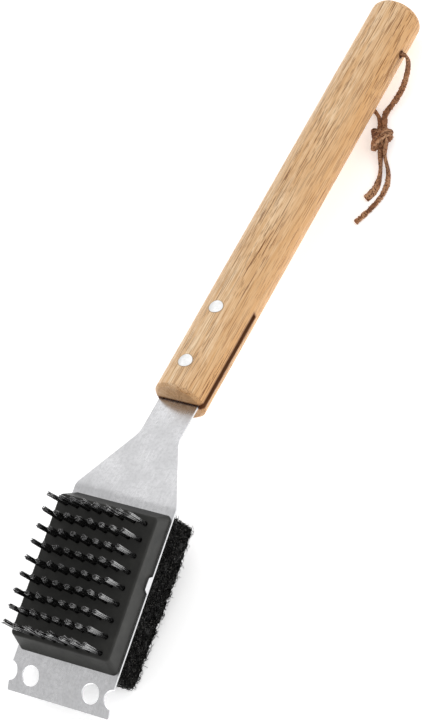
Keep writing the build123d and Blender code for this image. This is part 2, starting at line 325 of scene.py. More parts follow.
def build_pebble_grain():
    """A small pebbled grain from 0 to 1, for bumps. Size is a pebble's width in millimetres."""
    tree, bench, given = new_group(
        "pebble_grain",
        [("Position", "Vector", None), ("Size", "Float", 1.0), ("Mix", "Float", 0.5)],
        [("Height", "Float")],
    )
    scale = bench.math("DIVIDE", 1000.0, given.outputs["Size"])
    cells = bench.add("TexVoronoi", {"Vector": given.outputs["Position"], "Scale": scale})
    fuzz = bench.add("TexNoise", {"Vector": given.outputs["Position"], "Scale": scale, "Detail": 4.0})
    blend = bench.add(
        "Mix",
        {0: given.outputs["Mix"], 2: cells.outputs["Distance"], 3: fuzz.outputs["Fac"]},
        data_type="FLOAT",
    )
    bench.give("Height", blend.outputs[0])
    return tree


TONE_DRIFT = build_tone_drift()
DRAWN_LINES = build_drawn_lines()
PEBBLE_GRAIN = build_pebble_grain()
print("shared groups:", [tree.name for tree in bpy.data.node_groups])

# %% [markdown]
# ## Lines to work along
# A lace, a filament and a loose fibre are all the same thing to a modeller: a section carried along a
# line. The lace's lines are smooth NURBS splines. Blender turns a spline into points when it is made
# into a mesh, and rings of vertices are then set square to the line, a little apart.

# %% Lines and tubes
def spline_points(name, route):
    """The points of the smooth NURBS line that has the route's points for its control points."""
    curve = bpy.data.curves.new(name, "CURVE")
    curve.dimensions = "3D"
    spline = curve.splines.new("NURBS")
    spline.points.add(len(route) - 1)
    for point, place in zip(spline.points, route):
        point.co = (*place, 1)
    spline.order_u = 3
    spline.use_endpoint_u = True
    spline.resolution_u = 24
    holder = bpy.data.objects.new(name, curve)
    line = bpy.data.meshes.new_from_object(holder)
    points = np.array([vertex.co for vertex in line.vertices], float)
    bpy.data.objects.remove(holder)
    bpy.data.curves.remove(curve)
    bpy.data.meshes.remove(line)
    return points


def even_steps(points, step):
    """The same line with points one step apart, and its length."""
    spans = np.linalg.norm(np.diff(points, axis=0), axis=1)
    along = np.concatenate(([0.0], np.cumsum(spans)))
    count = max(4, round(along[-1] / step)) + 1
    marks = np.linspace(0, along[-1], count)
    return np.stack([np.interp(marks, along, points[:, axis]) for axis in range(3)], axis=1), along[-1]


def frames_along(path):
    """A side and a face direction at each point of a path, turning as little as they can."""
    heading = np.gradient(path, axis=0)
    heading /= np.linalg.norm(heading, axis=1)[:, None]
    sides = []
    current = np.array((0.0, 0.0, 1.0))
    for way in heading:
        current = current - way * (current @ way)
        current /= np.linalg.norm(current)
        sides.append(current.copy())
    sides = np.array(sides)
    return sides, np.cross(heading, sides)


def add_mesh(name, vertices, faces):
    """A new object in the scene, made from vertices and faces."""
    mesh = bpy.data.meshes.new(name)
    mesh.from_pydata([tuple(v) for v in vertices], [], faces)
    mesh.validate()
    mesh.update()
    mesh.shade_smooth()
    piece = bpy.data.objects.new(name, mesh)
    bpy.context.scene.collection.objects.link(piece)
    return piece


def tube_faces(first, rings, sides):
    """The faces of one closed tube whose first vertex has that number."""
    faces = []
    for ring in range(rings - 1):
        a = first + ring * sides
        for k in range(sides):
            n = (k + 1) % sides
            faces.append((a + k, a + n, a + sides + n, a + sides + k))
    faces.append(tuple(reversed(range(first, first + sides))))
    last = first + (rings - 1) * sides
    faces.append(tuple(range(last, last + sides)))
    return faces


# %% [markdown]
# ## The leather lace
# The lace is a thong cut from split hide, a little wider than thick, with rough suede edges. It goes
# through the handle's cross hole. Both halves come down to the floor, one in front and one round the
# handle's underside, meet in an overhand knot, and leave it as two free tails. Its section is a
# rounded rectangle that twists slowly, and each vertex is moved a little, most of all at the edges.

# %% Where the lace lies
HOLE_HEIGHT = HOLE.z / MM
FLOOR_RUN = 1.35
KNOT_HEADING = math.radians(-66.0)
KNOT_PLACE = np.array((21.5, -51.2, 5.2))
KNOT_ALONG = np.array((math.cos(KNOT_HEADING), math.sin(KNOT_HEADING), 0.0))
KNOT_ACROSS = np.array((-KNOT_ALONG[1], KNOT_ALONG[0], 0.0))
KNOT_HALF = 6.75
STRAND_APART = 1.25


def at_knot(end, strand, out):
    """A point of a lace beyond an end of the knot, from the hole, in millimetres."""
    place = KNOT_PLACE + KNOT_ALONG * end * (KNOT_HALF + out) + KNOT_ACROSS * strand * STRAND_APART
    return tuple(place - (0, 0, 1.0))


def route_from_hole(points):
    """A route given in millimetres from the hole, with heights above the floor, in metres."""
    return [(x * MM, HOLE.y + y * MM, z * MM) for x, y, z in points]


FRONT_ROUTE = [(0, 0, HOLE_HEIGHT), (7.5, 0, HOLE_HEIGHT), (15.0, 0, HOLE_HEIGHT)]
FRONT_ROUTE += [(18.4, 0, HOLE_HEIGHT), (20.8, -3.6, 15.0), (21.2, -9.6, 11.6), (20.2, -17.2, 7.4)]
FRONT_ROUTE += [(17.0, -26.0, 4.4), (14.4, -33.0, 3.6), at_knot(-1, 1, 6.0), at_knot(-1, 1, 0.0)]
FRONT_ROUTE += [at_knot(-1, 1, -3.0)]
REAR_ROUTE = [(0, 0, HOLE_HEIGHT), (-9.6, 0, HOLE_HEIGHT), (-17.0, 0, HOLE_HEIGHT)]
REAR_ROUTE += [(-17.4, -3.6, 10.4), (-18.2, -9.6, 5.6), (-18.6, -17.6, 2.2)]
REAR_ROUTE += [(-12.8, -24.4, FLOOR_RUN), (-4.2, -27.6, FLOOR_RUN), (4.4, -29.2, FLOOR_RUN)]
REAR_ROUTE += [(11.2, -34.4, 2.2), at_knot(-1, -1, 6.0), at_knot(-1, -1, 0.0), at_knot(-1, -1, -3.0)]
SHORT_ROUTE = [at_knot(1, -1, -3.0), at_knot(1, -1, 0.0), at_knot(1, -1, 5.4), (27.8, -69.8, 1.8)]
SHORT_ROUTE += [(29.6, -77.4, FLOOR_RUN), (29.2, -84.2, FLOOR_RUN), (26.8, -89.0, FLOOR_RUN)]
LONG_ROUTE = [at_knot(1, 1, -3.0), at_knot(1, 1, 0.0), at_knot(1, 1, 5.4), (32.0, -68.0, 1.7)]
LONG_ROUTE += [(35.2, -76.2, FLOOR_RUN), (35.4, -85.2, FLOOR_RUN), (32.2, -95.4, FLOOR_RUN)]
LONG_ROUTE += [(27.4, -105.2, FLOOR_RUN)]

# %% The thong's section along a line
RING_STEP = 0.42 * MM
RING_SIDES = 16
FLOOR_SKIN = 0.06 * MM
LACE_THICKNESS = 2.1 * MM
SQUARENESS = 0.55  # below 1, the round section's sides flatten
SWAY_ANGLE = 0.35
SWAY_RATE = 9.0
WANDER_RINGS = 5  # rings from one wider or narrower place to the next
WIDTH_WANDER = 0.07
FACE_FRAY, EDGE_FRAY, NAP = 0.06, 0.22, 0.035  # millimetres


def thong(paths, widths, seed, twist):
    """Vertices, faces and edge marks of thongs. widths gives the width at each share of the way."""
    rng = np.random.default_rng(seed)
    vertices, faces, rims = [], [], []
    for path in paths:
        sides, ups = frames_along(path)
        count = len(path)
        share = np.linspace(0, 1, count)
        turn = math.radians(twist) * share + SWAY_ANGLE * np.sin(share * SWAY_RATE + seed)
        flat = np.cos(turn)[:, None] * sides + np.sin(turn)[:, None] * ups
        tall = -np.sin(turn)[:, None] * sides + np.cos(turn)[:, None] * ups
        first = len(vertices)
        knots = np.arange(0, count + WANDER_RINGS, WANDER_RINGS)
        wander = np.interp(np.arange(count), knots, rng.normal(0, WIDTH_WANDER, len(knots)))
        for k in range(count):
            half_wide = widths(share[k]) / 2 * (1 + wander[k])
            half_thick = LACE_THICKNESS / 2 * (1 - wander[k])
            for corner in range(RING_SIDES):
                angle = 2 * math.pi * corner / RING_SIDES
                across = math.copysign(abs(math.cos(angle)) ** SQUARENESS, math.cos(angle))
                above = math.copysign(abs(math.sin(angle)) ** SQUARENESS, math.sin(angle))
                rim = abs(math.cos(angle)) ** 3
                fray = rng.normal(0, FACE_FRAY + EDGE_FRAY * rim) * MM
                place = path[k] + flat[k] * (across * half_wide + across * fray)
                place = place + tall[k] * (above * half_thick + rng.normal(0, NAP) * MM)
                vertices.append(place)
                rims.append(rim)
        faces += tube_faces(first, count, RING_SIDES)
    vertices = np.array(vertices)
    vertices[:, 2] = np.maximum(vertices[:, 2], FLOOR_SKIN)
    return vertices, faces, rims


lace_pieces = []


def lace_piece(name, vertices, faces, rims):
    """A piece of the lace, which carries a mark for its rough edges."""
    piece = add_mesh(name, vertices, faces)
    mark = piece.data.attributes.new("rough_edge", "FLOAT", "POINT")
    mark.data.foreach_set("value", np.array(rims, np.float32))
    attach(piece, "hanging_loop")
    lace_pieces.append(piece)
    return piece


def even(value):
    """A size that stays the same along a thong."""
    return lambda share: value


def flared(start, end, from_share):
    """A size that grows towards the thong's end."""
    return lambda share: start + (end - start) * max(0.0, (share - from_share) / (1 - from_share)) ** 1.5


# %% [markdown]
# The knot is an overhand knot in the doubled lace: both thongs run into its core together, turn out
# round it once and tuck back through their own turn. Each row below is a place of the pair in the
# knot's own directions, along, across and up, with the way in which the two lie apart.

# %% The knot
PAIR = [
    ((-8.4, 0.0, -0.9), (0.0, 1.25, 0.0)),
    ((-5.4, 0.2, -0.2), (0.0, 1.2, 0.0)),
    ((-1.6, -0.6, 0.2), (0.3, 1.2, 0.0)),
    ((2.4, -2.4, 0.2), (1.1, 0.8, 0.0)),
    ((5.0, -4.6, 0.6), (1.4, 0.0, 0.3)),
    ((5.2, -5.0, 3.0), (1.4, 0.0, 0.3)),
    ((3.4, -2.4, 4.9), (1.4, 0.5, 0.0)),
    ((0.2, 1.6, 5.0), (1.3, 0.7, 0.0)),
    ((-2.6, 4.8, 3.0), (1.4, 0.3, 0.0)),
    ((-3.4, 5.2, -0.6), (1.4, 0.0, 0.0)),
    ((-3.0, 2.6, -3.4), (1.4, 0.0, 0.0)),
    ((-3.0, -1.6, -3.6), (1.4, 0.0, 0.0)),
    ((-4.4, -4.8, -1.4), (1.4, 0.0, 0.0)),
    ((-4.8, -4.6, 2.0), (1.3, 0.2, 0.2)),
    ((-3.4, -1.6, 4.3), (1.2, 0.5, 0.2)),
    ((-0.4, 1.6, 3.2), (0.8, 0.9, 0.0)),
    ((2.6, 1.8, 1.0), (0.2, 1.25, 0.0)),
    ((5.4, 0.5, -0.4), (0.0, 1.25, 0.0)),
    ((8.4, 0.0, -1.0), (0.0, 1.25, 0.0)),
]


def knot_line(strand):
    """One thong's line through the knot."""
    places = []
    for place, apart in PAIR:
        along, across, up = np.array(place) + strand * np.array(apart)
        spot = KNOT_PLACE + KNOT_ALONG * along + KNOT_ACROSS * across + np.array((0, 0, up))
        places.append(tuple(spot))
    return even_steps(spline_points("knot_line", route_from_hole(places)), RING_STEP)


KNOT_THONG_WIDTH = 3.0 * MM
knot_paths = [knot_line(strand) for strand in (-1, 1)]
knot_data = thong([path for path, length in knot_paths], even(KNOT_THONG_WIDTH), seed=11, twist=70)
lace_knot = lace_piece("lace_overhand_knot", *knot_data)
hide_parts("lace_knot")
print("lace inside the knot, mm:", [round(length / MM, 1) for path, length in knot_paths])

# %% [markdown]
# The four free stretches follow. Each one's length is printed and added to the whole, and the two long
# halves start in the middle of the handle's hole, so that nothing is open when one looks into it.

# %% The free stretches of the lace
RIGHT_MOUTH = (HANDLE_RADIUS, HOLE.y, HOLE.z)
LEFT_MOUTH = (-HANDLE_RADIUS, HOLE.y, HOLE.z)
TAIL_EXIT = {s: route_from_hole([at_knot(1, s, 0.0)])[0] for s in (-1, 1)}
FRONT_NODES = ("lace_strand_front", "lace_in_hole")
FLARED = flared(3.6 * MM, 5.0 * MM, 0.55)
# A name, a route, where it leaves, its width, the seed, the twist in degrees, and the nodes it stands for.
LACE_PARTS = (
    ("lace_front", FRONT_ROUTE, RIGHT_MOUTH, even(3.1 * MM), 3, 120, FRONT_NODES),
    ("lace_rear", REAR_ROUTE, LEFT_MOUTH, even(3.0 * MM), 5, 150, ("lace_strand_rear",)),
    ("lace_short_end", SHORT_ROUTE, TAIL_EXIT[-1], FLARED, 7, 25, ("lace_tail_short",)),
    ("lace_long_end", LONG_ROUTE, TAIL_EXIT[1], even(2.6 * MM), 9, 80, ("lace_tail_long",)),
)
lace_total = sum(length for path, length in knot_paths)
for name, route, leaves_at, widths, seed, twist, nodes in LACE_PARTS:
    path, length = even_steps(spline_points(name, route_from_hole(route)), RING_STEP)
    data = thong([path], widths, seed, twist)
    piece = lace_piece(name, *data)
    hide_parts(*nodes)
    lace_total += length
    print(name, "is", round(length / MM, 1), "mm long")
print("the whole lace, mm:", round(lace_total / MM))

# %% [markdown]
# ## Leather
# Split hide is brown all through, darker where hands have polished it and paler where fibres stand up
# at the cut edges. The colour drifts along the thong, and a pebbled grain gives it its dry bump.

# %% Leather finish
def shared(bench, tree, **inputs):
    """A shared group placed in a material, with its inputs set or wired."""
    node = bench.tree.nodes.new("ShaderNodeGroup")
    node.node_tree = tree
    for name, value in inputs.items():
        if isinstance(value, bpy.types.NodeSocket):
            bench.tree.links.new(value, node.inputs[name])
        else:
            node.inputs[name].default_value = value
    return node.outputs[0]


def place_on(bench):
    """The position in the row's frame, in metres."""
    return bench.add("TexCoord").outputs["Object"]


def bump(bench, shader, height, distance, strength):
    """A bump whose full height is that distance, on a shader's normal."""
    node = bench.add("Bump", {"Height": height, "Distance": distance, "Strength": strength})
    bench.tree.links.new(node.outputs["Normal"], shader.inputs["Normal"])


leather, bench, shader = new_finish("lace_leather", Roughness=0.8, Specular_IOR_Level=0.3)
place = place_on(bench)
drift = shared(bench, TONE_DRIFT, Position=place, Size=9.0, Contrast=2.2)
speckle = shared(bench, TONE_DRIFT, Position=place, Size=0.9, Contrast=2.6)
grain = shared(bench, PEBBLE_GRAIN, Position=place, Size=0.55, Mix=0.5)
hides = [(0.1, colour(112, 70, 44)), (0.5, colour(154, 106, 72)), (0.9, colour(196, 150, 112))]
hide = bench.ramp(drift, hides)
rim = bench.add("Attribute", attribute_name="rough_edge").outputs["Fac"]
dusty = bench.mix(bench.math("MULTIPLY", rim, 0.4), hide, colour(206, 164, 130))
pits = bench.span(speckle, 0.2, 0.5)
bench.wire(bench.mix(pits, colour(70, 36, 18), dusty), shader.inputs["Base Color"])
bump(bench, shader, grain, 0.25 * MM, 0.9)
for piece in lace_pieces:
    piece.data.materials.append(leather)
print("leather on", len(lace_pieces), "pieces of the lace")

# %% [markdown]
# ## Wood
# The handle is turned from a pale, open-pored hardwood. Its growth rings lie nearly flat, because the
# blank was sawn from beside the heart, so they show as long soft bands. The pores are what the eye
# knows it by: short dark dashes along the grain. Both are worked out in space and cut by the surface,
# as in a real blank, so the end grain comes out right too. The blank was cut where sapwood meets
# heartwood, so its left side is paler with fewer pores and its right side warmer and darker. That darkening
# is partly heartwood and partly painted shade on the side turned away from the light. The saw that cut
# the slot has scorched its edges, and that dark band is widened to paint the shade in the slot's gap.
# The drilled hole is dark where the lace has rubbed, and a thin painted shadow rings each rivet head.

# %% Wood finish
SLOT_LENGTH = 63.8
HOLE_RADIUS = 2.1
TREE_HEART = (-38.0, 0.0, -64.0)  # from the handle's axis, across and above
RING_WIDTH = 3.4
RING_SWAY = (9.0, 0.0, 9.0)
RIVETS_FROM_FOOT = [(middle(name) - FOOT).dot(GRIP_ALONG) / MM for name in ("rivet_lower", "rivet_upper")]
RIVET_RADIUS = (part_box("rivet_lower")[1].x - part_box("rivet_lower")[0].x) / 2 / MM
wood, bench, shader = new_finish("wood_oiled", Specular_IOR_Level=0.15)
turning = {"Vector": place_on(bench), "Center": tuple(FOOT), "Angle": grip_slope}
turned = bench.add("VectorRotate", turning, rotation_type="X_AXIS")
from_foot = bench.add("VectorMath", {0: turned.outputs[0], 1: tuple(FOOT)}, operation="SUBTRACT").outputs[0]
in_mm = bench.add("VectorMath", {0: from_foot, "Scale": 1000.0}, operation="SCALE").outputs[0]
axes = bench.add("SeparateXYZ", {0: in_mm})
across, along, above = axes.outputs

sway = bench.add("TexNoise", {"Vector": bench.stretch(in_mm, (30, 160, 30)), "Scale": 1.0, "Detail": 2.0})
swaying = {0: sway.outputs["Color"], 1: RING_SWAY}
swayed = bench.add("VectorMath", swaying, operation="MULTIPLY").outputs[0]
heart = bench.add("VectorMath", {0: in_mm, 1: TREE_HEART}, operation="SUBTRACT").outputs[0]
ring_place = bench.add("VectorMath", {0: heart, 1: swayed}, operation="ADD").outputs[0]
ring_flat = bench.add("VectorMath", {0: ring_place, 1: (1.0, 0.012, 1.0)}, operation="MULTIPLY").outputs[0]
ring_radius = bench.add("VectorMath", {0: ring_flat}, operation="LENGTH").outputs["Value"]
ring_share = bench.math("FRACT", bench.math("DIVIDE", ring_radius, RING_WIDTH))
late_wood = bench.math("POWER", ring_share, 2.2)


def pore_dashes(sizes, thin, share_kept, darkness):
    """Dark dashes in cells of the given sizes. thin is the dash's half width as a share of its cell."""
    inputs = {"Vector": bench.stretch(in_mm, sizes), "Scale": 1.0, "Randomness": 1.0}
    cells = bench.add("TexVoronoi", inputs)
    kept = bench.add("SeparateColor", {0: cells.outputs["Color"]}).outputs[0]
    shown = bench.span(kept, share_kept - 0.12, share_kept, darkness, 0.0)
    dash = bench.span(cells.outputs["Distance"], thin, thin + 0.08, 1.0, 0.0)
    return bench.math("MULTIPLY", dash, shown)


zone_noise = bench.add("TexNoise", {"Vector": bench.stretch(in_mm, (9, 80, 9)), "Scale": 1.0, "Detail": 2.0})
cloudy = bench.span(zone_noise.outputs["Fac"], 0.38, 0.56, 0.45, 1.0)
sapwood_side = bench.span(across, -12.0, -2.0, 0.45, 1.0)
zones = bench.math("MULTIPLY", cloudy, sapwood_side)
long_pores = pore_dashes((0.72, 34.0, 0.72), 0.26, 0.85, 1.0)
middle_pores = pore_dashes((0.64, 19.0, 0.64), 0.24, 0.8, 0.95)
short_pores = pore_dashes((0.58, 8.0, 0.58), 0.22, 0.7, 0.7)
most_pores = bench.math("MAXIMUM", bench.math("MAXIMUM", long_pores, middle_pores), short_pores)
pores = bench.math("MULTIPLY", most_pores, zones)
fibre = shared(bench, DRAWN_LINES, Position=from_foot, Reach=(0.45, 30.0, 0.45), Detail=2.0)
patches = shared(bench, DRAWN_LINES, Position=from_foot, Reach=(9.0, 70.0, 9.0), Detail=2.0)
flecks = shared(bench, DRAWN_LINES, Position=from_foot, Reach=(1.6, 7.0, 1.6), Detail=2.0)

pale = bench.mix(late_wood, colour(249, 224, 189), colour(233, 199, 157))
# Partly heartwood tone, partly painted shade: the right side, away from the light, is made warmer and
# darker.
heartwood_and_shade_side = bench.span(across, 2.0, 13.0, 0.0, 0.7)
patched = bench.mix(bench.span(patches, 0.36, 0.66, 0.0, 0.6), pale, colour(222, 172, 116))
toned = bench.mix(heartwood_and_shade_side, patched, colour(204, 156, 102))
flecked = bench.mix(bench.span(flecks, 0.45, 0.68, 0.0, 0.3), toned, colour(206, 156, 104))
fibred = bench.mix(bench.span(fibre, 0.44, 0.58, 0.0, 0.55), flecked, colour(198, 148, 98))
pored = bench.mix(bench.math("MULTIPLY", pores, 0.9), fibred, colour(112, 64, 26))

# Partly saw scorch, partly painted shade: a dark band round the slot's mouth stands in for the shade in the
# gap above the blade.
away_from_slot = bench.math("ABSOLUTE", above)
slot_wide = bench.span(away_from_slot, 1.6, 2.9, 1.0, 0.0)
slot_long = bench.span(along, SLOT_LENGTH + 0.2, SLOT_LENGTH + 1.6, 1.0, 0.0)
scorch_and_gap_shade = bench.math("MULTIPLY", slot_wide, slot_long)
hole_away = bench.add(
    "CombineXYZ", {"X": bench.math("SUBTRACT", along, HOLE_FROM_FOOT / MM), "Y": above}
).outputs[0]
hole_radius = bench.add("VectorMath", {0: hole_away}, operation="LENGTH").outputs["Value"]
rubbed = bench.span(hole_radius, HOLE_RADIUS + 0.1, HOLE_RADIUS + 1.0, 1.0, 0.0)
scorch_shade_and_rub = bench.math("MAXIMUM", scorch_and_gap_shade, rubbed)
# Painted shadow: a thin dark ring in the wood round each rivet head.
rims = []
for from_end in RIVETS_FROM_FOOT:
    away = bench.add("CombineXYZ", {"X": across, "Y": bench.math("SUBTRACT", along, from_end)}).outputs[0]
    rims.append(bench.add("VectorMath", {0: away}, operation="LENGTH").outputs["Value"])
rivet_rim_shadow = bench.span(bench.math("MINIMUM", *rims), RIVET_RADIUS + 0.1, RIVET_RADIUS + 0.6, 0.55, 0.0)
foot_end = bench.span(along, 0.3, 2.4, 0.45, 0.0)
ended = bench.mix(foot_end, pored, colour(150, 104, 62))
ended = bench.mix(rivet_rim_shadow, ended, colour(120, 104, 90))
scorched_and_gap_shaded = bench.mix(bench.math("MULTIPLY", scorch_shade_and_rub, 0.85), ended, colour(92, 46, 22))
bench.wire(scorched_and_gap_shaded, shader.inputs["Base Color"])
rough = bench.math("ADD", bench.math("MULTIPLY", fibre, 0.25), 0.42)
bench.wire(rough, shader.inputs["Roughness"])
relief = bench.math("SUBTRACT", bench.math("MULTIPLY", fibre, 0.35), pores)
bump(bench, shader, relief, 0.12 * MM, 0.7)
print("wood: scorched slot", SLOT_LENGTH, "mm long, hole", HOLE_FROM_FOOT / MM, "mm from the foot")

# %% [markdown]
# ## Steel
# The blade is stamped from stainless sheet with the mill's satin finish. It mirrors the soft boxes, so
# its colour is mostly theirs. Faint drawn lines along the sheet, a cloudy drift and a little change in
# roughness keep it from looking like grey paper. A band of painted shade runs along the bend behind the
# block, in place of the darker reflection there, and the sheared edges are torn and darker than the faces.

# %% Steel finish
BEND_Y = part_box("brush_block")[1].y
# Where the band of painted shade along the bend rises, peaks and fades, and how far across it reaches.
BEND_SHADE_PEAK = BEND_Y + 5.0 * MM
BEND_SHADE_END = BEND_Y + 13.0 * MM
BEND_SHADE_LEFT, BEND_SHADE_RIGHT = -26.0 * MM, 24.0 * MM


def metal(name, shade, roughness, reach, drift_size, line_depth, smudge=0.0, bend_reflection_shade=0.0, cut_edge=0.0):
    """A brushed metal: its colour and roughness, how far its lines run per axis, and how deep they are.

    smudge is how strongly stains darken it, cut_edge how strongly the sheared edges do, and the bend
    argument how strongly a band of painted shade along the bend does.
    """
    material, bench, shader = new_finish(name, Metallic=1.0)
    place = place_on(bench)
    darker = dimmed(shade, 0.7)
    lines = shared(bench, DRAWN_LINES, Position=place, Reach=reach, Detail=4.0)
    drift = shared(bench, TONE_DRIFT, Position=place, Size=drift_size, Contrast=2.4)
    stains = shared(bench, TONE_DRIFT, Position=place, Size=1.6, Contrast=2.4)
    clouded = bench.mix(bench.math("MULTIPLY", drift, 0.5), shade, darker)
    stained = bench.mix(bench.span(stains, 0.35, 1.0, 0.0, smudge), clouded, darker)
    lined = bench.mix(bench.span(lines, 0.35, 0.65, 0.0, 0.45), stained, darker)
    # Painted shade: a darker band just beyond the bend, strongest on the left, stands in for the bend's
    # darker reflection.
    if bend_reflection_shade:
        down = bench.add("SeparateXYZ", {0: place}).outputs
        mark = bench.span(down[1], BEND_Y, BEND_SHADE_PEAK)
        fade = bench.span(down[1], BEND_SHADE_PEAK, BEND_SHADE_END)
        side = bench.span(down[0], BEND_SHADE_LEFT, BEND_SHADE_RIGHT, bend_reflection_shade, 0.15 * bend_reflection_shade)
        bend_shade_band = bench.math("SUBTRACT", mark, fade, clamp=True)
        lined = bench.mix(bench.math("MULTIPLY", bend_shade_band, side), lined, dimmed(shade, 0.45))
    if cut_edge:
        facing = bench.add("SeparateXYZ", {0: bench.add("TexCoord").outputs["Normal"]}).outputs[0]
        sheared = bench.span(bench.math("ABSOLUTE", facing), 0.6, 0.9, 0.0, cut_edge)
        lined = bench.mix(sheared, lined, dimmed(shade, 0.3))
    bench.wire(lined, shader.inputs["Base Color"])
    spread = bench.math("ADD", bench.math("MULTIPLY", lines, 0.16), bench.math("MULTIPLY", drift, 0.12))
    bench.wire(bench.math("ADD", spread, roughness - 0.14), shader.inputs["Roughness"])
    bump(bench, shader, lines, line_depth, 0.5)
    return material


# The bend value is the strength of the painted shade along the bend.
worn = {"smudge": 0.7, "bend_reflection_shade": 0.26, "cut_edge": 0.85}
steel = metal("steel_satin", colour(221, 221, 223), 0.29, (0.35, 12.0, 3.0), 14.0, 0.02 * MM, **worn)
rivet_metal = metal("rivet_aluminium", colour(253, 253, 253), 0.30, (0.5, 0.5, 3.0), 2.5, 0.01 * MM)
wire_metal = metal("anchor_wire", colour(190, 190, 188), 0.30, (3.0, 0.3, 0.3), 2.0, 0.01 * MM)
print("metals:", steel.name, rivet_metal.name, wire_metal.name)

# %% [markdown]
# ## Moulded block, glue and nylon
# The block is injection moulded in black plastic with a fine matt texture from the mould. The filaments
# are extruded nylon: smooth and much glossier, so they look grey where they mirror something bright.

# %% Plastics
def black_plastic(name, shade, worn, roughness, grain_size, depth, gloss):
    """A dark plastic: its colour, the paler one it drifts to, and the size and depth of its grain."""
    material, bench, shader = new_finish(name, Specular_IOR_Level=gloss)
    place = place_on(bench)
    drift = shared(bench, TONE_DRIFT, Position=place, Size=8.0, Contrast=2.0)
    grain = shared(bench, PEBBLE_GRAIN, Position=place, Size=grain_size, Mix=0.6)
    bench.wire(bench.mix(bench.math("MULTIPLY", drift, 0.8), shade, worn), shader.inputs["Base Color"])
    bench.wire(bench.span(grain, 0.2, 0.8, roughness - 0.08, roughness + 0.1), shader.inputs["Roughness"])
    bump(bench, shader, grain, depth, 0.6)
    return material


MOULDED, MOULDED_WORN = colour(46, 46, 45), colour(60, 60, 58)
GLUE, GLUE_WORN = colour(20, 19, 18), colour(34, 32, 30)
NYLON, NYLON_WORN = colour(12, 12, 12), colour(34, 34, 34)
NYLON_IOR = 1.68
block_plastic = black_plastic("block_plastic", MOULDED, MOULDED_WORN, 0.5, 0.35, 0.04 * MM, 0.06)
rubber = black_plastic("adhesive_rubber", GLUE, GLUE_WORN, 0.7, 0.6, 0.1 * MM, 0.3)
nylon = black_plastic("bristle_nylon", NYLON, NYLON_WORN, 0.2, 0.2, 0.005 * MM, 1.0)
nylon.node_tree.nodes["Principled BSDF"].inputs["IOR"].default_value = NYLON_IOR
print("plastics:", block_plastic.name, rubber.name, nylon.name)

# %% [markdown]
# The exact solids keep their shapes and take these finishes.

# %% Finishes on the frame's own solids
def dress(node, material):
    """Gives a frame node one material."""
    piece = frame["nodes"][node]
    piece.data.materials.clear()
    piece.data.materials.append(material)


dress("handle", wood)
dress("blade", steel)
dress("rivet_lower", rivet_metal)
dress("rivet_upper", rivet_metal)
dress("brush_block", block_plastic)
dress("pad_adhesive", rubber)
anchors = [node for node in frame["nodes"] if node.startswith("anchor_row_")]
for node in anchors:
    dress(node, wire_metal)
print("dressed", 6 + len(anchors), "solids")

# %% [markdown]
# ## Bristles
# Each tuft is a bunch of stiff filaments, folded in half over a wire in the bottom of its hole, so all
# of them stand up close together and spread a little towards their tips. The outer rows get knocked
# about more. A tuft as one solid would look like a peg. Here every filament is a thin tube with its own
# lean, bow and length, and a rounded end, as brush makers grind them.

# %% Bristles
ROWS = 9
TUFTS_IN_ROW = 8
TUFT_PITCH = 7.05 * MM
ANCHOR_DEPTH = 7.25 * MM
FILAMENTS = 18
FILAMENT_RADIUS = 0.235 * MM
FILAMENT_SIDES = 6
FILAMENT_RINGS = 7
END_ROUND = 0.14 * MM
END_NARROWED = 0.3
FREE_LENGTH = 19.5 * MM
TRIMMED = 0.3 * MM
SPLAY = 0.006
SUNK = 2.5 * MM
BUNCH_RADIUS = 1.12 * MM
GOLDEN_TURN = math.pi * (3 - math.sqrt(5))
up, along_head, sideways = (np.array(v) for v in (HEAD_UP, HEAD_ALONG, ACROSS))


def tuft(root, rng, wild, first):
    """Vertices and faces of one tuft that stands on a root point of the block's face.

    wild is 0 for a neat tuft and grows as its filaments lean and bow more.
    """
    vertices, faces = [], []
    lean = rng.normal(0, 0.008 + 0.012 * wild, 2)
    for k in range(FILAMENTS):
        radius = BUNCH_RADIUS * math.sqrt((k + 0.5) / FILAMENTS)
        angle = k * GOLDEN_TURN
        spot = np.array((math.cos(angle), math.sin(angle))) * radius
        tilt = spot / BUNCH_RADIUS * SPLAY + lean + rng.normal(0, 0.004 + 0.022 * wild, 2)
        bow = rng.normal(0, 0.1 + 0.5 * wild, 2) * MM
        length = FREE_LENGTH - TRIMMED - abs(rng.normal(0, 0.35 + 0.35 * wild)) * MM
        start = root + sideways * spot[0] + along_head * spot[1]
        for ring in range(FILAMENT_RINGS):
            share = min(1.0, ring / (FILAMENT_RINGS - 2))
            height = -SUNK + (length + SUNK) * share
            radius_here = FILAMENT_RADIUS
            if ring == FILAMENT_RINGS - 1:
                height += END_ROUND
                radius_here *= END_NARROWED
            risen = max(height, 0.0)
            off = tilt * risen + bow * (risen / FREE_LENGTH) ** 2
            centre = start + up * height + sideways * off[0] + along_head * off[1]
            for side in range(FILAMENT_SIDES):
                turn = 2 * math.pi * side / FILAMENT_SIDES + angle
                rim = sideways * math.cos(turn) + along_head * math.sin(turn)
                vertices.append(centre + rim * radius_here)
        faces += tube_faces(first, FILAMENT_RINGS, FILAMENT_SIDES)
        first += FILAMENT_RINGS * FILAMENT_SIDES
    return vertices, faces


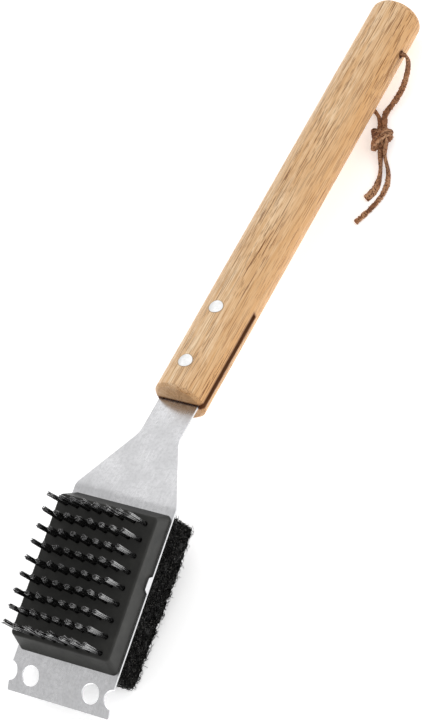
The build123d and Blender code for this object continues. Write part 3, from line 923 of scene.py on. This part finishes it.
for row in range(1, ROWS + 1):
    rng = np.random.default_rng(100 + row)
    wild = {1: 0.25, ROWS: 0.5}.get(row, 0.0)
    middle_root = np.array(middle(f"anchor_row_{row}")) + up * ANCHOR_DEPTH
    vertices, faces = [], []
    for column in range(TUFTS_IN_ROW):
        root = middle_root + sideways * TUFT_PITCH * (column - (TUFTS_IN_ROW - 1) / 2)
        more_vertices, more_faces = tuft(root, rng, wild, len(vertices))
        vertices += more_vertices
        faces += more_faces
    bristles = add_mesh(f"bristles_row_{row}", vertices, faces)
    bristles.data.materials.append(nylon)
    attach(bristles, "brush")
    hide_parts(f"bristle_row_{row}")
print("filaments:", ROWS * TUFTS_IN_ROW * FILAMENTS)

# %% [markdown]
# ## Scouring pad
# The pad is a thick mat of coarse black fibres, stuck together with gritty resin and cut to size. It is
# open like a sponge and holds its shape by itself, so it needs no cloth simulation. Its body is a
# closed form, remeshed fine and pitted by noise, and thousands of short bowed fibres lie over that.

# %% The pad's body
PAD_VOXEL = 0.9 * MM
PAD_SHRINK = 0.8 * MM
COARSE_LIFT, FINE_LIFT, PIT_DEPTH = 0.7, 0.4, 3.4  # millimetres
GLUE_LEVEL = middle("pad_adhesive").dot(HEAD_UP)

pad = bpy.data.objects.new("scouring_pad_fibre", frame["nodes"]["scouring_pad"].data.copy())
bpy.context.scene.collection.objects.link(pad)
pad.data.materials.clear()
remesh = pad.modifiers.new("even_mesh", "REMESH")
remesh.mode = "VOXEL"
remesh.voxel_size = PAD_VOXEL
remesh.use_smooth_shade = True
evaluated = pad.evaluated_get(bpy.context.evaluated_depsgraph_get())
even_mesh = bpy.data.meshes.new_from_object(evaluated)
pad.modifiers.clear()
pad.data = even_mesh

pad_count = len(even_mesh.vertices)
co = np.empty(pad_count * 3)
normals = np.empty(pad_count * 3)
even_mesh.vertices.foreach_get("co", co)
even_mesh.vertex_normals.foreach_get("vector", normals)
co, normals = co.reshape(-1, 3), normals.reshape(-1, 3)
lift = np.empty(pad_count)
for k in range(pad_count):
    spot = Vector(co[k])
    coarse = noise.noise(spot * 190.0)
    fine = noise.noise(spot * 800.0)
    pits = min(0.0, noise.noise(spot * 430.0 + Vector((7, 3, 5))) + 0.1)
    lift[k] = (-PAD_SHRINK / MM + COARSE_LIFT * coarse + FINE_LIFT * fine + PIT_DEPTH * pits) * MM
glued = (normals @ np.array(HEAD_UP)) > 0.8
lift[glued] = 0.0
co = co + normals * lift[:, None]
co[:, 2] = np.maximum(co[:, 2], 0.1 * MM)
even_mesh.vertices.foreach_set("co", co.ravel())
even_mesh.update()
print("pad body:", pad_count, "vertices")

# %% The pad's loose fibres
FIBRES = 8000
FIBRE_RADIUS = 0.15 * MM
FIBRE_RINGS = 5
FIBRE_SIDES = 3
FIBRE_LENGTHS = (2.5, 6.5)  # millimetres, as are the next two
FIBRE_HUMPS = (0.2, 1.3)
FIBRE_CURL = 1.0
FIBRE_SUNK = 0.25 * MM


def pad_fibres():
    """Vertices and faces of short bowed fibres over the pad's open faces."""
    rng = np.random.default_rng(40)
    even_mesh.calc_loop_triangles()
    triangles = np.empty(len(even_mesh.loop_triangles) * 3, int)
    even_mesh.loop_triangles.foreach_get("vertices", triangles)
    triangles = triangles.reshape(-1, 3)
    a, b, c = (co[triangles[:, k]] for k in range(3))
    cross = np.cross(b - a, c - a)
    area = np.linalg.norm(cross, axis=1) + 1e-12
    facing = cross / area[:, None]
    open_share = area * ((facing @ np.array(HEAD_UP)) < 0.6)
    picks = rng.choice(len(area), FIBRES, p=open_share / open_share.sum())
    vertices, faces = [], []
    for pick in picks:
        u, v = sorted(rng.random(2))
        start = a[pick] * u + b[pick] * (v - u) + c[pick] * (1 - v)
        normal = facing[pick]
        way = np.cross(normal, rng.normal(0, 1, 3))
        way /= np.linalg.norm(way) + 1e-9
        side = np.cross(normal, way)
        length = rng.uniform(*FIBRE_LENGTHS) * MM
        hump = rng.uniform(*FIBRE_HUMPS) * MM
        curl = rng.normal(0, FIBRE_CURL) * MM
        first = len(vertices)
        path = []
        for ring in range(FIBRE_RINGS):
            share = ring / (FIBRE_RINGS - 1)
            arch = 4 * share * (1 - share)
            rise = normal * (hump * arch - FIBRE_SUNK)
            path.append(start + way * length * (share - 0.5) + rise + side * curl * arch)
        path = np.array(path)
        over = path @ np.array(HEAD_UP) - GLUE_LEVEL
        path -= np.maximum(over, 0.0)[:, None] * np.array(HEAD_UP)
        for spot in path:
            for corner in range(FIBRE_SIDES):
                turn = 2 * math.pi * corner / FIBRE_SIDES
                rim = normal * math.cos(turn) + side * math.sin(turn)
                vertices.append(spot + rim * FIBRE_RADIUS)
        faces += tube_faces(first, FIBRE_RINGS, FIBRE_SIDES)
    vertices = np.array(vertices)
    vertices[:, 2] = np.maximum(vertices[:, 2], 0.05 * MM)
    return vertices, faces


fuzz = add_mesh("pad_loose_fibres", *pad_fibres())

pad_black, bench, shader = new_finish("pad_fibre", Specular_IOR_Level=0.04)
place = place_on(bench)
drift = shared(bench, TONE_DRIFT, Position=place, Size=5.0, Contrast=2.4)
glint_and_grit = shared(bench, TONE_DRIFT, Position=place, Size=0.8, Contrast=3.0)
body = bench.mix(drift, colour(3, 3, 3), colour(11, 11, 10))
# Painted highlights: sparse pale specks stand in for light glinting on the fibres. The same noise also
# varies the roughness.
painted_glint_specks = bench.span(glint_and_grit, 0.88, 0.98)
bench.wire(bench.mix(painted_glint_specks, body, colour(118, 116, 112)), shader.inputs["Base Color"])
bench.wire(bench.span(glint_and_grit, 0.3, 0.8, 0.42, 0.7), shader.inputs["Roughness"])
bump(bench, shader, shared(bench, PEBBLE_GRAIN, Position=place, Size=0.7, Mix=0.4), 0.4 * MM, 0.8)
pad.data.materials.append(pad_black)
fuzz.data.materials.append(pad_black)
for piece in (pad, fuzz):
    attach(piece, "brush")
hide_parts("scouring_pad")
print("loose fibres:", FIBRES)

# %% [markdown]
# ## Floor finish and the last measures
# The floor is plain pale paper on a light table, so it glows and shadows on it stay soft. A light table is
# much brighter than a picture can show, and glossy surfaces that mirror it get its full strength.

# %% Floor finish, sizes and the end
TABLE_GLOW = 0.4
TABLE_GLOW_MIRRORED = 2.3
paper, bench, shader = new_finish(
    "pale_paper", Roughness=0.9, Specular_IOR_Level=0.1, Emission_Color=(1, 1, 1, 1)
)
mirrored = bench.add("LightPath").outputs["Is Glossy Ray"]
glow = bench.span(mirrored, 0.0, 1.0, TABLE_GLOW, TABLE_GLOW_MIRRORED)
bench.wire(glow, shader.inputs["Emission Strength"])
tooth = shared(bench, TONE_DRIFT, Position=place_on(bench), Size=30.0, Contrast=0.5)
bench.wire(bench.mix(tooth, colour(246, 246, 246), colour(250, 250, 250)), shader.inputs["Base Color"])
floor.data.materials.append(paper)
